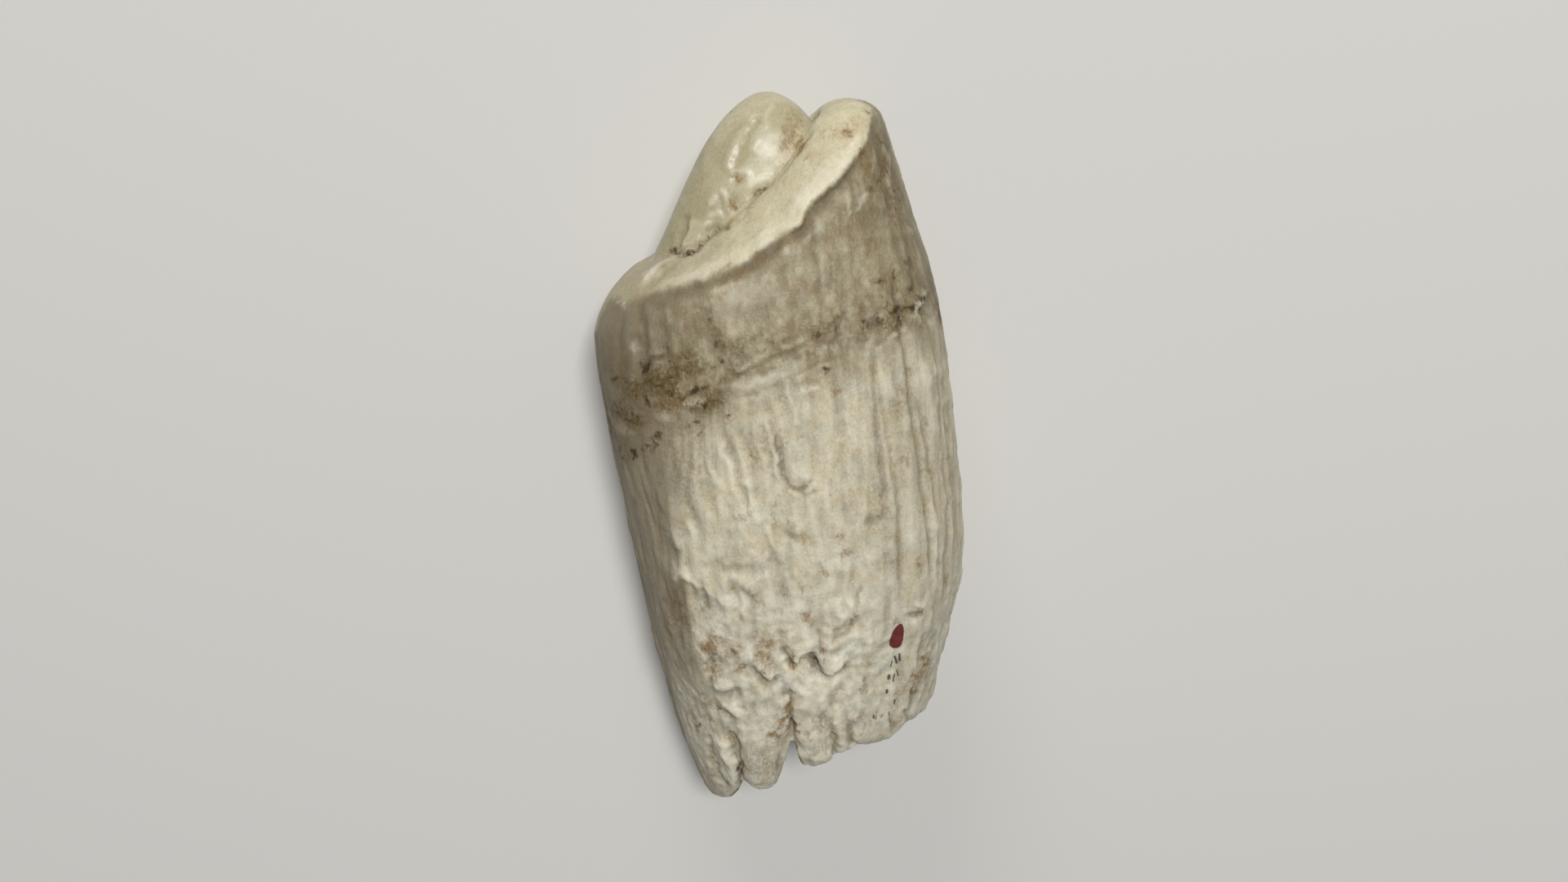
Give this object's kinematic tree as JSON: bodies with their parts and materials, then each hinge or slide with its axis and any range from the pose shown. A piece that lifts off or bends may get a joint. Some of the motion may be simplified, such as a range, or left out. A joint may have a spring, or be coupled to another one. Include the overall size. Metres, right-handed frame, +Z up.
{
  "type": "sperm whale tooth",
  "caption": "Sperm whale tooth with a worn, sloping crown and an open, lobed root, lying on its broad back.",
  "frame": {"origin": "middle of the bounding box across X and Y, on the surface that the tooth lies on", "axes": "+Y along the tooth towards its crown, +X across its broad way towards the higher end of the worn slope, +Z up"},
  "size_m": [0.0626, 0.1302, 0.0477],
  "materials": {
    "ivory": "satin, with a matt root"
  },
  "bodies": {
    "root": {"tooth": "ivory"}
  },
  "joints": []
}
